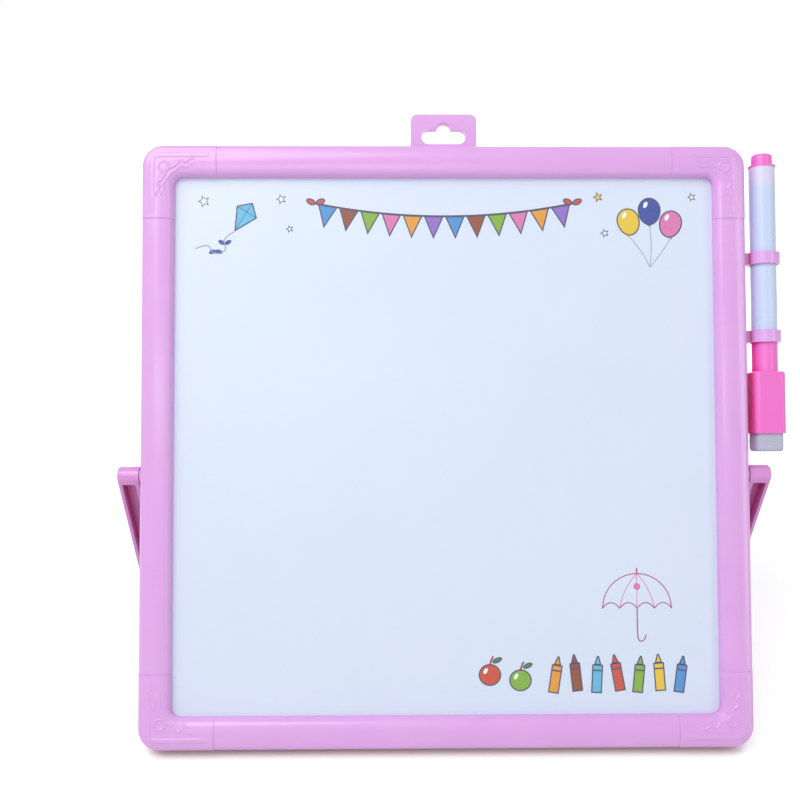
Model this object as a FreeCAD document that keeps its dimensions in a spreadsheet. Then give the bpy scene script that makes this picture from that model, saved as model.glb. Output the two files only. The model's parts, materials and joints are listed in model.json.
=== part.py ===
"""Child's whiteboard with a teaching clock on its back, two prop legs and a pen with an eraser cap.

Millimetres, +Z up, front towards -Y. Every piece is drawn in the board's own frame, with the board
upright, its foot at z = 0 and the joint between the frame's two halves at y = 0. The board then
leans back until its rear bottom edge and the feet of the opened legs stand on the same surface.
"""
import FreeCAD, Part
import os
import re

import Sketcher

SIZES = {
    # Frame: two moulded halves that meet at the joint plane
    "frame_width": "280",
    "frame_height": "277",
    "rail_width": "14.6",
    "outer_corner": "9.8",
    "window_corner": "4",
    "crest_height": "8",
    "edge_radius": "3",
    "lip_radius": "4",
    "crown_radius": "16",
    "panel_length": "34.4",
    "panel_step": "0.4",
    "outer_wall": "2.2",
    "channel_width": "5.8",
    "channel_depth": "4.8",
    "sheet_lap": "5",
    "sheet_clearance": "0.3",
    # Sheets clamped between the halves
    "writing_sheet_thickness": "0.8",
    "core_thickness": "3.6",
    "clock_sheet_thickness": "0.8",
    # Hanging tab on the back half
    "tab_width": "31",
    "tab_height": "16.6",
    "tab_thickness": "4.4",
    "tab_corner": "3.2",
    "slot_floor": "2.4",
    "slot_length": "20.8",
    "slot_height": "7.1",
    "slot_bump_radius": "3.2",
    "slot_bump_rise": "2.7",
    "slot_round": "0.8",
    # Screws through the back half into the front half
    "screw_radius": "1.3",
    "screw_head_radius": "2.5",
    "screw_head_height": "1.8",
    "screw_seat": "4",
    "screw_reach": "5.2",
    "screw_clearance": "0.1",
    "head_clearance": "0.3",
    "boss_radius": "3.2",
    "rail_screw_offset": "75",
    "low_screw_height": "62",
    # Legs
    "pivot_height": "124",
    "leg_length": "124",
    "leg_width": "10.1",
    "leg_depth": "8.5",
    "leg_wall": "2",
    "leg_hollow_depth": "5.8",
    "leg_hollow_start": "1.8",
    "leg_hollow_corner": "0.8",
    "leg_edge": "1.2",
    "leg_gap": "0.95",
    "leg_open_angle": "42",
    "foot_wall": "2.5",
    "journal_radius": "2.5",
    "journal_clearance": "0.06",
    "pivot_boss_radius": "4.1",
    "pivot_boss_gap": "0.3",
    "trunnion_head_radius": "4.1",
    "trunnion_head_thickness": "1.6",
    "trunnion_head_gap": "0.3",
    "stop_gap": "0.1",
    "stop_clearance": "0.45",
    "stop_depth": "2.3",
    "stop_rise": "3.8",
    "stop_length": "6",
    # Pen rings
    "ring_height": "5.6",
    "ring_wall": "1.4",
    "ring_clearance": "0.15",
    "upper_ring_share": "0.488",
    "neck_thickness": "3",
    "neck_clearance": "0.05",
    "ring_foot_thickness": "1.8",
    "ring_foot_depth": "7",
    "ring_foot_height": "8.5",
    # Pen
    "pen_gap": "4.2",
    "barrel_radius": "5.95",
    "barrel_wall": "1",
    "barrel_length": "79.7",
    "plug_flange_radius": "6.2",
    "plug_flange_height": "0.9",
    "plug_knob_radius": "4.75",
    "plug_knob_height": "5.5",
    "plug_round": "1.1",
    "plug_stem_length": "8",
    "fit_clearance": "0.05",
    "collar_inset": "0.4",
    "collar_thickness": "1",
    "holder_stem_length": "8",
    "grip_radius": "4.2",
    "grip_length": "16",
    "nose_length": "4",
    "nose_radius": "2.4",
    "nib_radius": "1.5",
    "nib_reach": "4",
    "nib_tip_radius": "0.6",
    "nib_taper_length": "1.6",
    "reservoir_radius": "4.4",
    # Cap with eraser
    "cap_gap": "0.1",
    "cap_tube_radius": "5.85",
    "cap_tube_length": "15.3",
    "cap_bore_clearance": "0.2",
    "cap_bore_spare": "2",
    "block_width": "14.6",
    "block_height": "28.8",
    "block_corner": "2.6",
    "block_edge": "1.2",
    "felt_inset": "0.9",
    "felt_corner": "1.8",
    "felt_socket": "5",
    "felt_reach": "8.5",
    "cap_room": "6.05",
    # Clock
    "pin_radius": "2",
    "pin_flange_radius": "6",
    "pin_flange_thickness": "0.8",
    "pin_clearance": "0.06",
    "hand_thickness": "1",
    "hand_gap": "0.3",
    "hub_radius": "6.5",
    "hour_hand_length": "52",
    "minute_hand_length": "78",
    "hand_root_width": "8",
    "hand_neck_width": "4.5",
    "hand_head_width": "12",
    "hand_head_length": "15",
    "hour_angle": "305",
    "minute_angle": "60",
    "hub_cap_radius": "5",
    "hub_cap_height": "2.2",
    "hub_cap_roof": "0.8",
    "hub_cap_round": "1.2",
    # Every cut runs this far past the face that it opens
    "overrun": "1",
}

SIZE_NAMES = re.compile(r"\b(" + "|".join(sorted(SIZES, key=len, reverse=True)) + r")\b")

# Places and sizes that several pieces share, as formulas of the sheet's names
HALF_RAIL = "rail_width/2"
ARC_CENTRE = "(crest_height - crown_radius + sqrt((crown_radius - {0})^2 - (rail_width/2 - {0})^2))"
EDGE_CENTRE = ARC_CENTRE.format("edge_radius")
LIP_CENTRE = ARC_CENTRE.format("lip_radius")
STACK = "(writing_sheet_thickness + core_thickness + clock_sheet_thickness)"
SEAT_INSET = "(rail_width - sheet_lap - sheet_clearance)"
CHANNEL_END = "(outer_wall + channel_width)"
SCREW_INSET = "(outer_wall + channel_width/2)"
PEN_X = "(frame_width/2 + pen_gap + barrel_radius)"
RING_BORE = "(barrel_radius + ring_clearance)"
CAP_TOP = "(collar_thickness + cap_gap)"
BLOCK_TOP = f"({CAP_TOP} + cap_tube_length)"
BLOCK_FOOT = f"({BLOCK_TOP} + block_height)"
# The felt stands clear of the leg's top, and the upper ring divides the side above the lower one
LOWER_RING = f"(pivot_height + leg_depth/2 + cap_room + felt_reach + {BLOCK_FOOT})"
UPPER_RING = (f"({LOWER_RING} + upper_ring_share*(frame_height - outer_corner"
              f" - ring_foot_height/2 - {LOWER_RING}))")
HIGH_SCREW = f"(({UPPER_RING} + frame_height - outer_corner)/2)"
CLOCK_Z = "frame_height/2"
HOUR_LEVEL = f"({STACK}/2 + hand_gap)"
MINUTE_LEVEL = f"({HOUR_LEVEL} + hand_thickness + hand_gap)"
CAP_LEVEL = f"({MINUTE_LEVEL} + hand_thickness + hand_gap)"

# Lean of the board: the surface touches the rear bottom edge's arc and the middle of each foot
FOOT_Y = f"(leg_length*sin(leg_open_angle) - {EDGE_CENTRE})"
FOOT_Z = "(pivot_height - leg_length*cos(leg_open_angle) - edge_radius)"
LEAN = f"(atan2({FOOT_Z}; {FOOT_Y}) + asin(edge_radius/sqrt({FOOT_Y}^2 + {FOOT_Z}^2)))"
DEGREE = "1deg"
LEG_TILT = f"(leg_open_angle*{DEGREE} - {LEAN})"
LIFT = f"(edge_radius - edge_radius*cos({LEAN}) + {EDGE_CENTRE}*sin({LEAN}))"
FRONT_REACH = (f"(edge_radius*sin({LEAN}) - ({EDGE_CENTRE} + panel_step)*cos({LEAN})"
               f" - edge_radius)")
BACK_REACH = f"(tab_thickness*cos({LEAN}) + (frame_height + tab_height)*sin({LEAN}))"
SHIFT_X = "((leg_gap + leg_width - pen_gap - barrel_radius - block_width/2)/2)"
SHIFT_Y = f"(-({FRONT_REACH} + {BACK_REACH})/2)"

doc = FreeCAD.newDocument("whiteboard_with_clock")
sheet = doc.addObject("Spreadsheet::Sheet", "Sizes")
for row, (name, value) in enumerate(SIZES.items(), start=1):
    sheet.set(f"A{row}", name)
    sheet.set(f"B{row}", value)
    sheet.setAlias(f"B{row}", name)
doc.recompute()


def bound(formula):
    """Expression that reads the sheet for each size named in a formula."""
    return SIZE_NAMES.sub(r"Sizes.\1", formula)


def measure(formula):
    """Value that a formula has now."""
    return float(sheet.evalExpression(bound(formula)))


def new_body(label):
    """Empty body whose label names the piece."""
    body = doc.addObject("PartDesign::Body", label)
    body.Label = label
    return body


def place(body, x="0", y="0", z="0", tilt=f"-{LEAN}"):
    """Stand a body in the leaning board, its own origin at a place in the board's frame."""
    body.Placement = FreeCAD.Placement(
        FreeCAD.Vector(), FreeCAD.Rotation(FreeCAD.Vector(1, 0, 0), 1))
    body.setExpression("Placement.Rotation.Angle", bound(tilt))
    body.setExpression("Placement.Base.x", bound(f"{SHIFT_X} + {x}"))
    body.setExpression("Placement.Base.y", bound(f"{SHIFT_Y} + ({y})*cos({LEAN}) + ({z})*sin({LEAN})"))
    body.setExpression("Placement.Base.z", bound(f"{LIFT} - ({y})*sin({LEAN}) + ({z})*cos({LEAN})"))


def origin_plane(body, role):
    """One of a body's own origin planes."""
    return next(item for item in body.Origin.OriginFeatures if item.Role == role)


def new_sketch(body, name, role, offset="0", turn="0"):
    """Sketch on an origin plane, moved along the plane's normal and turned about it."""
    sketch = body.newObject("Sketcher::SketchObject", name)
    sketch.AttachmentSupport = [(origin_plane(body, role), "")]
    sketch.MapMode = "FlatFace"
    sketch.AttachmentOffset = FreeCAD.Placement(
        FreeCAD.Vector(), FreeCAD.Rotation(FreeCAD.Vector(0, 0, 1), measure(turn)))
    if turn != "0":
        sketch.setExpression("AttachmentOffset.Rotation.Angle", bound(turn))
    if offset != "0":
        sketch.setExpression("AttachmentOffset.Base.z", bound(offset))
    return sketch


def hold(sketch, geometry, end, x=None, y=None):
    """Tie a point of a sketch, in one direction or both, to its place from the sketch's origin."""
    if x == "0" and y == "0":
        sketch.addConstraint(Sketcher.Constraint("Coincident", geometry, end, -1, 1))
        return
    for kind, axis, formula in (("DistanceX", -2, x), ("DistanceY", -1, y)):
        if formula == "0":
            sketch.addConstraint(Sketcher.Constraint("PointOnObject", geometry, end, axis))
        elif formula is not None:
            index = sketch.addConstraint(
                Sketcher.Constraint(kind, -1, 1, geometry, end, measure(formula)))
            sketch.setExpression(f"Constraints[{index}]", bound(formula))


def outline(sketch, *corners):
    """Closed chain of lines and arcs through corners given as formulas.

    A corner is (x, y) at the end of a line, or (x, y, centre_x, centre_y, turn) at the end of an
    arc, whose turn is 1 anticlockwise and -1 clockwise. The chain starts from the last corner.
    """
    points = [FreeCAD.Vector(measure(c[0]), measure(c[1]), 0) for c in corners]
    ends = []
    for index, corner in enumerate(corners):
        start, stop = points[index - 1], points[index]
        if len(corner) == 2:
            geometry = sketch.addGeometry(Part.LineSegment(start, stop))
            ends.append((geometry, 1, 2))
            continue
        centre = FreeCAD.Vector(measure(corner[2]), measure(corner[3]), 0)
        first, last = (start, stop) if corner[4] > 0 else (stop, start)
        circle = Part.Circle(centre, FreeCAD.Vector(0, 0, 1), (start - centre).Length)
        arc = Part.ArcOfCircle(circle, circle.parameter(first), circle.parameter(last))
        geometry = sketch.addGeometry(arc)
        ends.append((geometry, 1, 2) if corner[4] > 0 else (geometry, 2, 1))
    for index, corner in enumerate(corners):
        geometry, first, last = ends[index]
        before, _, before_last = ends[index - 1]
        sketch.addConstraint(
            Sketcher.Constraint("Coincident", before, before_last, geometry, first))
        hold(sketch, geometry, last, corner[0], corner[1])
        if len(corner) > 2:
            chord = points[index] - points[index - 1]
            if abs(chord.y) > abs(chord.x):
                hold(sketch, geometry, 3, x=corner[2])
            else:
                hold(sketch, geometry, 3, y=corner[3])


def circle(sketch, x, y, radius):
    """Circle about a place given as formulas."""
    centre = FreeCAD.Vector(measure(x), measure(y), 0)
    geometry = sketch.addGeometry(Part.Circle(centre, FreeCAD.Vector(0, 0, 1), measure(radius)))
    hold(sketch, geometry, 3, x, y)
    key = sketch.addConstraint(Sketcher.Constraint("Radius", geometry, measure(radius)))
    sketch.setExpression(f"Constraints[{key}]", bound(radius))


def rectangle(sketch, left, right, low, high):
    """Upright rectangle between four formulas."""
    outline(sketch, (right, low), (right, high), (left, high), (left, low))


def rounded_rectangle(sketch, left, right, low, high, radius):
    """Rectangle with round corners, which starts in the middle of its lower side."""
    x1, x2 = f"({left} + {radius})", f"({right} - {radius})"
    z1, z2 = f"({low} + {radius})", f"({high} - {radius})"
    outline(sketch,
            (f"({left} + {right})/2" if left != f"-{right}" else "0", low),
            (x2, low), (right, z1, x2, z1, 1),
            (right, z2), (x2, high, x2, z2, 1),
            (x1, high), (left, z2, x1, z2, 1),
            (left, z1), (x1, low, x1, z1, 1))


def board_rectangle(sketch, inset, radius):
    """Round-cornered rectangle at one distance inside the frame's outer edge."""
    side = f"(frame_width/2 - {inset})"
    rounded_rectangle(sketch, f"-{side}", side, inset, f"(frame_height - {inset})", radius)


def pad(body, sketch, length, reverse=False):
    """Raise a sketch along its normal, or against it."""
    feature = body.newObject("PartDesign::Pad", sketch.Name + "_pad")
    feature.Profile = sketch
    feature.Reversed = reverse
    feature.setExpression("Length", bound(length))
    doc.recompute()
    return feature


def cut_is_real(body, volume):
    """Stop if the last cut of a body took nothing away."""
    doc.recompute()
    if not body.Shape.Volume < volume:
        raise RuntimeError(f"{body.Tip.Name} cuts nothing from {body.Label}")


def pocket(body, sketch, length, reverse=False):
    """Sink a sketch against its normal, or along it."""
    volume = body.Shape.Volume
    feature = body.newObject("PartDesign::Pocket", sketch.Name + "_pocket")
    feature.Profile = sketch
    feature.Reversed = reverse
    feature.setExpression("Length", bound(length))
    cut_is_real(body, volume)
    return feature


def revolve(body, sketch):
    """Turn a sketch once about its own vertical axis."""
    feature = body.newObject("PartDesign::Revolution", sketch.Name + "_turned")
    feature.Profile = sketch
    feature.ReferenceAxis = (sketch, ["V_Axis"])
    doc.recompute()
    return feature


def run_cut(body, profile, path):
    """Cut a profile all along a closed path."""
    volume = body.Shape.Volume
    feature = body.newObject("PartDesign::SubtractivePipe", profile.Name + "_run")
    feature.Profile = profile
    feature.Spine = path
    cut_is_real(body, volume)
    return feature


def mirror_across_middle(body, features):
    """Repeat features on the other side of the board's middle plane."""
    feature = body.newObject("PartDesign::Mirrored", body.Label + "_other_side")
    feature.Originals = features
    feature.MirrorPlane = (origin_plane(body, "YZ_Plane"), [""])
    body.Tip = feature
    doc.recompute()


def round_edges(body, name, radius, wanted):
    """Fillet the edges of a body that pass a test."""
    doc.recompute()
    base = body.Tip
    names = [f"Edge{i}" for i, edge in enumerate(base.Shape.Edges, start=1) if wanted(edge)]
    feature = body.newObject("PartDesign::Fillet", name)
    feature.Base = (base, names)
    feature.setExpression("Radius", bound(radius))
    doc.recompute()


def rail_arcs(step):
    """Corners of the rail's front curve, from its outer wall to its inner wall.

    Returns pairs (inset, height) for the end of the outer wall, the two places where edge arc and
    crown meet, the end of the inner wall, and the centres of the three arcs.
    """
    edge, lip = f"({EDGE_CENTRE} + {step})", f"({LIP_CENTRE} + {step})"
    crown = f"(crest_height + {step} - crown_radius)"

    def meet(radius, centre):
        """Run from the crest and height at which the arc of an edge meets the crown."""
        share = f"crown_radius/(crown_radius - {radius})"
        return f"{share}*({HALF_RAIL} - {radius})", f"({crown} + {share}*({centre} - {crown}))"

    outer_run, outer_height = meet("edge_radius", edge)
    inner_run, inner_height = meet("lip_radius", lip)
    corners = [("0", edge), (f"({HALF_RAIL} - {outer_run})", outer_height),
               (f"({HALF_RAIL} + {inner_run})", inner_height), ("rail_width", lip)]
    centres = [("edge_radius", edge), (HALF_RAIL, crown), ("(rail_width - lip_radius)", lip)]
    return corners, centres


def cut_rail_edges(body, side, step):
    """Round the outer and inner halves of the rail, each along its own edge of the frame."""
    corners, centres = rail_arcs(step)
    top = f"(crest_height + {step} + overrun)"
    crest = f"(crest_height + {step})"

    def at(inset, height):
        """Corner on the plane across the bottom rail."""
        return f"{side}{height}" if height != "0" else "0", inset

    turn = 1 if side == "-" else -1
    outer = new_sketch(body, "outer_edge", "YZ_Plane")
    outline(outer, at("-overrun", corners[0][1]), at(*corners[0]),
            (*at(*corners[1]), *at(*centres[0]), -turn), (*at(HALF_RAIL, crest), *at(*centres[1]), -turn),
            at(HALF_RAIL, top), at("-overrun", top))
    outer_path = new_sketch(body, "outer_path", "XZ_Plane")
    board_rectangle(outer_path, "0", "outer_corner")
    run_cut(body, outer, outer_path)

    inner = new_sketch(body, "inner_edge", "YZ_Plane")
    past = "(rail_width + overrun)"
    outline(inner, at(past, corners[3][1]), at(*corners[3]),
            (*at(*corners[2]), *at(*centres[2]), turn), (*at(HALF_RAIL, crest), *at(*centres[1]), turn),
            at(HALF_RAIL, top), at(past, top))
    inner_path = new_sketch(body, "inner_path", "XZ_Plane")
    board_rectangle(inner_path, "rail_width", "window_corner")
    run_cut(body, inner, inner_path)


def lower_straight_rails(body):
    """Take the rails down between the corners, which leaves a raised panel at each corner."""
    corners, centres = rail_arcs("0")
    top = "(crest_height + panel_step + overrun)"
    past = "(rail_width + overrun)"

    def region(sketch, at, turn):
        """Space above one rail's front curve."""
        outline(sketch, at("-overrun", corners[0][1]), at(*corners[0]),
                (*at(*corners[1]), *at(*centres[0]), turn), (*at(*corners[2]), *at(*centres[1]), turn),
                (*at(*corners[3]), *at(*centres[2]), turn), at(past, corners[3][1]),
                at(past, top), at("-overrun", top))

    level = new_sketch(body, "level_rails", "YZ_Plane", "frame_width/2 - panel_length")
    region(level, lambda inset, height: (f"-{height}", inset), -1)
    region(level, lambda inset, height: (f"-{height}", f"(frame_height - ({inset}))"), 1)
    pocket(body, level, "frame_width - 2*panel_length")

    upright = new_sketch(body, "upright_rails", "XY_Plane", "frame_height - panel_length")
    region(upright, lambda inset, height: (f"(frame_width/2 - ({inset}))", f"-{height}"), -1)
    region(upright, lambda inset, height: (f"(({inset}) - frame_width/2)", f"-{height}"), 1)
    pocket(body, upright, "frame_height - 2*panel_length")


def screw_places():
    """Places of the eight screws on the joint plane."""
    side = f"(frame_width/2 - {SCREW_INSET})"
    top = f"(frame_height - {SCREW_INSET})"
    places = []
    for sign in ("-", ""):
        places += [(f"{sign}rail_screw_offset", SCREW_INSET), (f"{sign}rail_screw_offset", top),
                   (f"{sign}{side}", "low_screw_height"), (f"{sign}{side}", HIGH_SCREW)]
    return places


def screw_circles(body, name, radius, offset="0"):
    """Sketch with one circle at each screw."""
    sketch = new_sketch(body, name, "XZ_Plane", offset)
    for x, z in screw_places():
        circle(sketch, x, z, radius)
    return sketch


def frame_half(label, front):
    """One hollow half of the frame, with its sheet seat, screw bosses and leg bearings."""
    body = new_body(label)
    side = "-" if front else ""
    step = "panel_step" if front else "0"

    ring = new_sketch(body, "ring", "XZ_Plane")
    board_rectangle(ring, "0", "outer_corner")
    board_rectangle(ring, "rail_width", "window_corner")
    pad(body, ring, f"crest_height + {step}", reverse=not front)
    cut_rail_edges(body, side, step)
    if front:
        lower_straight_rails(body)

    seat = new_sketch(body, "sheet_seat", "XZ_Plane")
    board_rectangle(seat, SEAT_INSET, "window_corner")
    pocket(body, seat, f"{STACK}/2", reverse=front)

    channel = new_sketch(body, "channel", "XZ_Plane")
    board_rectangle(channel, "outer_wall", "(outer_corner - outer_wall)")
    board_rectangle(channel, CHANNEL_END, "window_corner")
    pocket(body, channel, "channel_depth", reverse=front)

    bosses = screw_circles(body, "bosses", "boss_radius")
    pad(body, bosses, "channel_depth", reverse=not front)
    holes = screw_circles(body, "screw_holes", "(screw_radius + screw_clearance)")
    pocket(body, holes, "screw_reach + screw_clearance" if front else "crest_height + overrun",
           reverse=front)
    if not front:
        sinks = screw_circles(body, "head_sinks", "(screw_head_radius + head_clearance)", "-screw_seat")
        pocket(body, sinks, "crest_height")
    side_features = leg_bearing(body, side)
    if not front:
        side_features.append(leg_stop(body))
    mirror_across_middle(body, side_features)
    ring_slots(body, side)
    if not front:
        hanging_tab(body)
    place(body)
    return body


def leg_bearing(body, side):
    """Half of a leg's bearing on the right side: outer boss and half bore."""
    boss = new_sketch(body, "pivot_boss", "YZ_Plane", "frame_width/2 - outer_wall")
    high, low = "(pivot_height + pivot_boss_radius)", "(pivot_height - pivot_boss_radius)"
    outline(boss, ("0", low), ("0", high, "0", "pivot_height", -1 if side == "-" else 1))
    boss_pad = pad(body, boss, "outer_wall + leg_gap - pivot_boss_gap")
    bore = new_sketch(body, "pivot_bore", "YZ_Plane", "frame_width/2 + leg_gap")
    circle(bore, "0", "pivot_height", "(journal_radius + journal_clearance)")
    bore_pocket = pocket(body, bore, f"leg_gap + {CHANNEL_END} - overrun")
    return [boss_pad, bore_pocket]


def leg_stop(body):
    """Wedge on the right side that the opened leg leans against."""
    stop = new_sketch(body, "leg_stop", "YZ_Plane", "frame_width/2 - outer_wall")
    near = "(leg_depth/2 + stop_clearance)"
    far = f"({near} + stop_depth)"
    face = "(leg_depth/2 + stop_gap)"

    def height(run):
        """Height of the wedge's face above the pivot, in line with the opened leg's back."""
        return f"(pivot_height + ({face} - {run}*cos(leg_open_angle))/sin(leg_open_angle))"

    top = "(pivot_height + stop_rise)"
    outline(stop, (near, height(near)), (far, height(far)), (far, top), (near, top))
    return pad(body, stop, "outer_wall + stop_length")


def ring_slots(body, side):
    """Slots in the right wall for the necks of the two pen rings."""
    slots = new_sketch(body, "ring_slots", "YZ_Plane", "frame_width/2 + overrun")
    depth = "(neck_thickness/2 + neck_clearance)"
    reach = "(ring_height/2 + neck_clearance)"
    for level in (LOWER_RING, UPPER_RING):
        inner, outer = (f"-{depth}", "overrun") if side == "-" else ("-overrun", depth)
        rectangle(slots, inner, outer, f"({level} - {reach})", f"({level} + {reach})")
    pocket(body, slots, f"{CHANNEL_END} - overrun")


def hanging_tab(body):
    """Tab above the top rail, with a hanging slot that has a bump in its middle."""
    tab = new_sketch(body, "tab", "XZ_Plane")
    half, top = "tab_width/2", "(frame_height + tab_height)"
    turn_x, turn_z = "(tab_width/2 - tab_corner)", f"({top} - tab_corner)"
    outline(tab, (f"-{half}", "(frame_height - outer_wall)"), (half, "(frame_height - outer_wall)"),
            (half, turn_z), (turn_x, top, turn_x, turn_z, 1),
            (f"-{turn_x}", top), (f"-{half}", turn_z, f"-{turn_x}", turn_z, 1))
    pad(body, tab, "tab_thickness", reverse=True)

    slot = new_sketch(body, "hang_slot", "XZ_Plane", "overrun")
    round_x = "(slot_length/2 - slot_height/2)"
    low = "(frame_height + slot_floor)"
    middle, high = f"({low} + slot_height/2)", f"({low} + slot_height)"
    bump_z = f"({high} + slot_bump_rise - slot_bump_radius)"
    bump_x = "sqrt(slot_bump_radius^2 - (slot_bump_rise - slot_bump_radius)^2)"
    outline(slot, (round_x, low), (round_x, high, round_x, middle, 1),
            (bump_x, high), (f"-{bump_x}", high, "0", bump_z, 1),
            (f"-{round_x}", high), (f"-{round_x}", low, f"-{round_x}", middle, 1))
    pocket(body, slot, "tab_thickness + 2*overrun")
    round_edges(body, "slot_bump_round", "slot_round",
                lambda edge: all(abs(abs(v.Point.x) - measure(bump_x)) < measure("slot_round")
                                 and abs(v.Point.z - measure(high)) < measure("slot_round")
                                 for v in edge.Vertexes))


def flat_sheet(label, back, thickness):
    """Sheet that the frame's lips hold all round, its back at a depth behind the joint plane."""
    body = new_body(label)
    face = new_sketch(body, label + "_face", "XZ_Plane", f"-({back})")
    board_rectangle(face, f"({SEAT_INSET} + sheet_clearance)", "window_corner")
    pad(body, face, thickness)
    place(body)
    return body


def writing_sheet():
    """White dry-wipe sheet at the front."""
    return flat_sheet("whiteboard_sheet", f"writing_sheet_thickness - {STACK}/2", "writing_sheet_thickness")


def core_board():
    """Stiff board between the sheets, with a seat for the clock pin's flange in its back."""
    body = flat_sheet("core_board", f"{STACK}/2 - clock_sheet_thickness", "core_thickness")
    seat = new_sketch(body, "flange_seat", "XZ_Plane", f"clock_sheet_thickness - {STACK}/2")
    circle(seat, "0", CLOCK_Z, "(pin_flange_radius + fit_clearance)")
    pocket(body, seat, "pin_flange_thickness", reverse=True)
    return body


def clock_sheet():
    """Sheet at the back that carries the dial, with a hole for the clock pin."""
    body = flat_sheet("clock_sheet", f"{STACK}/2", "clock_sheet_thickness")
    hole = new_sketch(body, "pin_hole", "XZ_Plane", "overrun")
    circle(hole, "0", CLOCK_Z, "(pin_radius + pin_clearance)")
    pocket(body, hole, f"{STACK} + overrun")
    return body


def frame_screws():
    """Eight self-tapping screws, put in from the back."""
    body = new_body("frame_screws")
    body.AllowCompound = True
    shanks = screw_circles(body, "shanks", "screw_radius", "-screw_seat")
    pad(body, shanks, "screw_seat + screw_reach")
    heads = screw_circles(body, "heads", "screw_head_radius", "-screw_seat")
    pad(body, heads, "screw_head_height", reverse=True)
    place(body)
    return body


def prop_leg(label, sign):
    """Channel-section leg, open to the front, that turns on a headed trunnion; sign 1 is the right."""
    body = new_body(label)
    left = sign < 0
    half = "leg_depth/2"
    slope = f"({half}*tan({LEG_TILT}))"

    profile = new_sketch(body, label + "_profile", "YZ_Plane")
    outline(profile, (f"-{half}", f"(-leg_length + {slope})"), (half, f"(-leg_length - {slope})"),
            (half, "0"), (f"-{half}", "0", "0", "0", 1))
    pad(body, profile, "leg_width", reverse=left)
    outer_x = sign * measure("leg_width")
    round_edges(body, label + "_outer_round", "leg_edge",
                lambda edge: all(abs(v.Point.x - outer_x) < measure("leg_edge") for v in edge.Vertexes))

    hollow = new_sketch(body, label + "_hollow", "XZ_Plane", half)
    near, far = "leg_wall", "(leg_width - leg_wall)"
    if left:
        near, far = f"-{far}", f"-{near}"
    rounded_rectangle(hollow, near, far, "(foot_wall - leg_length)", "-leg_hollow_start",
                      "leg_hollow_corner")
    pocket(body, hollow, "leg_hollow_depth")

    inward = "-" if not left else ""
    journal = new_sketch(body, label + "_journal", "YZ_Plane")
    circle(journal, "0", "0", "journal_radius")
    head_start = "(leg_gap + outer_wall + trunnion_head_gap)"
    pad(body, journal, head_start, reverse=not left)
    head = new_sketch(body, label + "_head", "YZ_Plane", f"{inward}{head_start}")
    circle(head, "0", "0", "trunnion_head_radius")
    pad(body, head, "trunnion_head_thickness", reverse=not left)

    offset = "(frame_width/2 + leg_gap)"
    place(body, offset if not left else f"-{offset}", "0", "pivot_height", LEG_TILT)
    return body


def pen_ring(label, level):
    """Ring round the pen, on a neck whose foot the two frame halves hold."""
    body = new_body(label)
    low = "-ring_height/2"
    band = new_sketch(body, label + "_band", "XY_Plane", low)
    circle(band, "0", "0", f"({RING_BORE} + ring_wall)")
    circle(band, "0", "0", RING_BORE)
    pad(body, band, "ring_height")

    inner_face = "(pen_gap + barrel_radius + outer_wall + neck_clearance)"
    neck = new_sketch(body, label + "_neck", "XY_Plane", low)
    rectangle(neck, f"-{inner_face}", f"-({RING_BORE} + ring_wall/2)",
              "-neck_thickness/2", "neck_thickness/2")
    pad(body, neck, "ring_height")
    foot = new_sketch(body, label + "_foot", "XY_Plane", "-ring_foot_height/2")
    rectangle(foot, f"(-{inner_face} - ring_foot_thickness)", f"-{inner_face}",
              "-ring_foot_depth/2", "ring_foot_depth/2")
    pad(body, foot, "ring_foot_height")
    place(body, PEN_X, "0", level)
    return body


def turned_piece(label, *corners):
    """Round piece of the pen, turned about the pen's axis, from the barrel's lower end."""
    body = new_body(label)
    profile = new_sketch(body, label + "_profile", "XZ_Plane")
    outline(profile, *corners)
    revolve(body, profile)
    place(body, PEN_X, "0", LOWER_RING)
    return body


def pen_pieces():
    """Barrel, end plug, ink reservoir, nib holder and nib."""
    bore = "(barrel_radius - barrel_wall)"
    turned_piece("pen_barrel", (bore, "0"), ("barrel_radius", "0"),
                 ("barrel_radius", "barrel_length"), (bore, "barrel_length"))

    stem = f"({bore} - fit_clearance)"
    plug_foot = "(barrel_length - plug_stem_length)"
    flange_top = "(barrel_length + plug_flange_height)"
    knob_top = f"({flange_top} + plug_knob_height)"
    round_x, round_z = "(plug_knob_radius - plug_round)", f"({knob_top} - plug_round)"
    turned_piece("pen_end_plug", ("0", plug_foot), (stem, plug_foot), (stem, "barrel_length"),
                 ("plug_flange_radius", "barrel_length"), ("plug_flange_radius", flange_top),
                 ("plug_knob_radius", flange_top), ("plug_knob_radius", round_z),
                 (round_x, knob_top, round_x, round_z, 1), ("0", knob_top))

    turned_piece("ink_reservoir", ("0", "holder_stem_length"), ("reservoir_radius", "holder_stem_length"),
                 ("reservoir_radius", plug_foot), ("0", plug_foot))

    nib_bore = "(nib_radius + fit_clearance)"
    collar = "(barrel_radius - collar_inset)"
    nose_foot = "(-grip_length - nose_length)"
    turned_piece("nib_holder", (nib_bore, nose_foot), ("nose_radius", nose_foot),
                 ("grip_radius", "-grip_length"), ("grip_radius", "-collar_thickness"),
                 (collar, "-collar_thickness"), (collar, "0"), (stem, "0"),
                 (stem, "holder_stem_length"), (nib_bore, "holder_stem_length"))

    tip = f"({nose_foot} - nib_reach)"
    turned_piece("pen_nib", ("0", tip), ("nib_tip_radius", tip),
                 ("nib_radius", f"({tip} + nib_taper_length)"),
                 ("nib_radius", "holder_stem_length"), ("0", "holder_stem_length"))


def square(sketch, width, radius):
    """Round-cornered square about the sketch's origin."""
    half = f"({width}/2)"
    rounded_rectangle(sketch, f"-{half}", half, f"-{half}", half, radius)


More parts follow.
